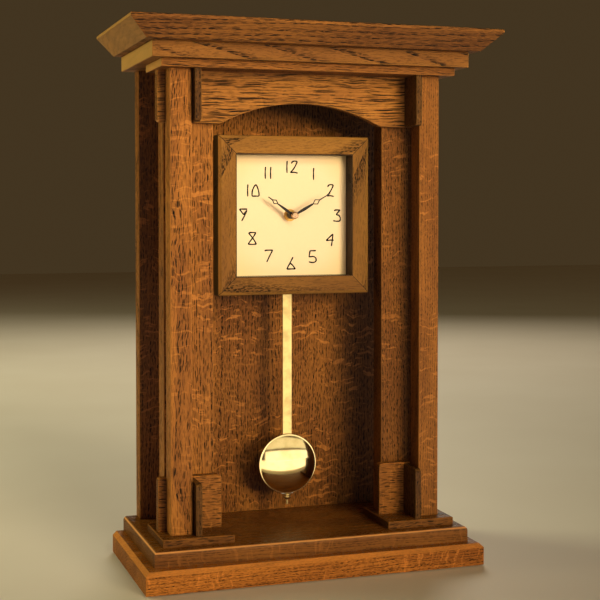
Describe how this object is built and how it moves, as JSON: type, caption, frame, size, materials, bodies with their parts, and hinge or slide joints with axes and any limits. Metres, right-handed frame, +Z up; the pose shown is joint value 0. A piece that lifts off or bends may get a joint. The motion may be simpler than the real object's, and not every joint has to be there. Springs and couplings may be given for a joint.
{
  "type": "mantel clock",
  "caption": "Oak pillared mantel clock: square-framed dial hung in an open niche over a swinging brass pendulum, on a stepped base under a bevelled crown.",
  "frame": {"origin": "centre of the footprint's bounding box, at the felt pads' underside", "axes": "+X to the clock's right as a viewer faces the dial, +Y from the dial to the back board, +Z up"},
  "size_m": [0.3804, 0.1868, 0.546],
  "materials": {
    "oak": "satin oil and wax",
    "box_wood": "dark stained, matt",
    "felt": "felt",
    "brass": "polished and lacquered",
    "steel": "zinc plated",
    "card": "matt printed card",
    "hand_metal": "dark bronze lacquer",
    "case_plastic": "moulded, fine texture",
    "gear_plastic": "moulded",
    "copper": "enamelled wire",
    "circuit": "solder mask",
    "cell": "printed label sleeve"
  },
  "bodies": {
    "case": {"apron": "oak", "back_board": "oak", "base_slab": "oak", "battery_contacts": "steel", "box_floor": "box_wood", "box_roof": "box_wood", "box_side_left": "box_wood", "box_side_right": "box_wood", "cap_board": "oak", "circuit_board": "circuit", "column_left": "oak", "column_right": "oak", "corbel_bottom_left": "oak", "corbel_bottom_right": "oak", "corbel_top_left": "oak", "corbel_top_right": "oak", "crown_slab": "oak", "dial_board": "box_wood", "dial_frame_bottom": "oak", "dial_frame_left": "oak", "dial_frame_right": "oak", "dial_frame_top": "oak", "dial_screws": "steel", "dial_sheet": "card", "drive_coil": "copper", "felt_pads": "felt", "fillet_board": "oak", "hinge_leaves_fixed": "brass", "hinge_pins": "brass", "mounting_nut": "brass", "mounting_washer": "brass", "movement_front_case": "case_plastic", "movement_rear_case": "case_plastic", "pad_left": "oak", "pad_right": "oak", "plinth_plate_left": "oak", "plinth_plate_right": "oak", "plinth_slab": "oak", "stepper_motor": "copper", "stile_left": "oak", "stile_right": "oak", "turn_button_screw": "brass"},
    "minute_train": {"minute_arbor": "brass", "minute_hand": "hand_metal", "hand_cap_nut": "brass"},
    "hour_train": {"hour_wheel": "gear_plastic", "hour_hand": "hand_metal"},
    "setting_train": {"minute_wheel": "gear_plastic", "setting_knob": "gear_plastic"},
    "third_train": {"third_wheel": "gear_plastic"},
    "pendulum": {"pendulum_hanger": "case_plastic", "hanger_magnet": "steel", "pendulum_rod": "brass"},
    "bob": {"bob_shell": "brass", "bob_back": "steel"},
    "rating_nut": {"rating_nut": "brass"},
    "hatch_door": {"rear_door": "oak", "hinge_leaves_door": "brass"},
    "door_button": {"turn_button": "brass"},
    "cell": {"battery": "cell"}
  },
  "joints": [
    {"name": "minute_turn", "type": "hinge", "parent": "case", "child": "minute_train", "pos_m": [0, 0, 0.3586], "axis": [0, 1, 0], "continuous": true},
    {"name": "hour_turn", "type": "hinge", "parent": "case", "child": "hour_train", "pos_m": [0, 0, 0.3586], "axis": [0, 1, 0], "continuous": true},
    {"name": "setting_turn", "type": "hinge", "parent": "case", "child": "setting_train", "pos_m": [0.00707, 0, 0.35153], "axis": [0, 1, 0], "continuous": true},
    {"name": "third_turn", "type": "hinge", "parent": "case", "child": "third_train", "pos_m": [-0.0066, 0, 0.3652], "axis": [0, 1, 0], "continuous": true},
    {"name": "pendulum_swing", "type": "hinge", "parent": "case", "child": "pendulum", "pos_m": [0, 0.029, 0.335], "axis": [0, 1, 0], "range_deg": [-5, 5]},
    {"name": "bob_slide", "type": "slide", "parent": "pendulum", "child": "bob", "axis": [0, 0, 1], "range_m": [-0.0035, 0.0035]},
    {"name": "nut_turn", "type": "hinge", "parent": "bob", "child": "rating_nut", "pos_m": [0, 0.0309, 0.06], "axis": [0, 0, 1], "range_deg": [-1800, 1800]},
    {"name": "hatch_swing", "type": "hinge", "parent": "case", "child": "hatch_door", "pos_m": [0.06065, 0.09185, 0.351], "axis": [0, 0, -1], "range_deg": [0, 100]},
    {"name": "button_turn", "type": "hinge", "parent": "case", "child": "door_button", "pos_m": [-0.068, 0.091, 0.351], "axis": [0, 1, 0], "range_deg": [0, 90]},
    {"name": "cell_slide", "type": "slide", "parent": "case", "child": "cell", "axis": [0, 1, 0], "range_m": [0, 0.025]}
  ],
  "couplings": [
    {"joint": "hour_turn", "follows": "minute_turn", "ratio": 0.083333},
    {"joint": "setting_turn", "follows": "minute_turn", "ratio": -0.33333},
    {"joint": "third_turn", "follows": "minute_turn", "ratio": -8},
    {"joint": "nut_turn", "follows": "bob_slide", "rad_per_m": 8976}
  ]
}
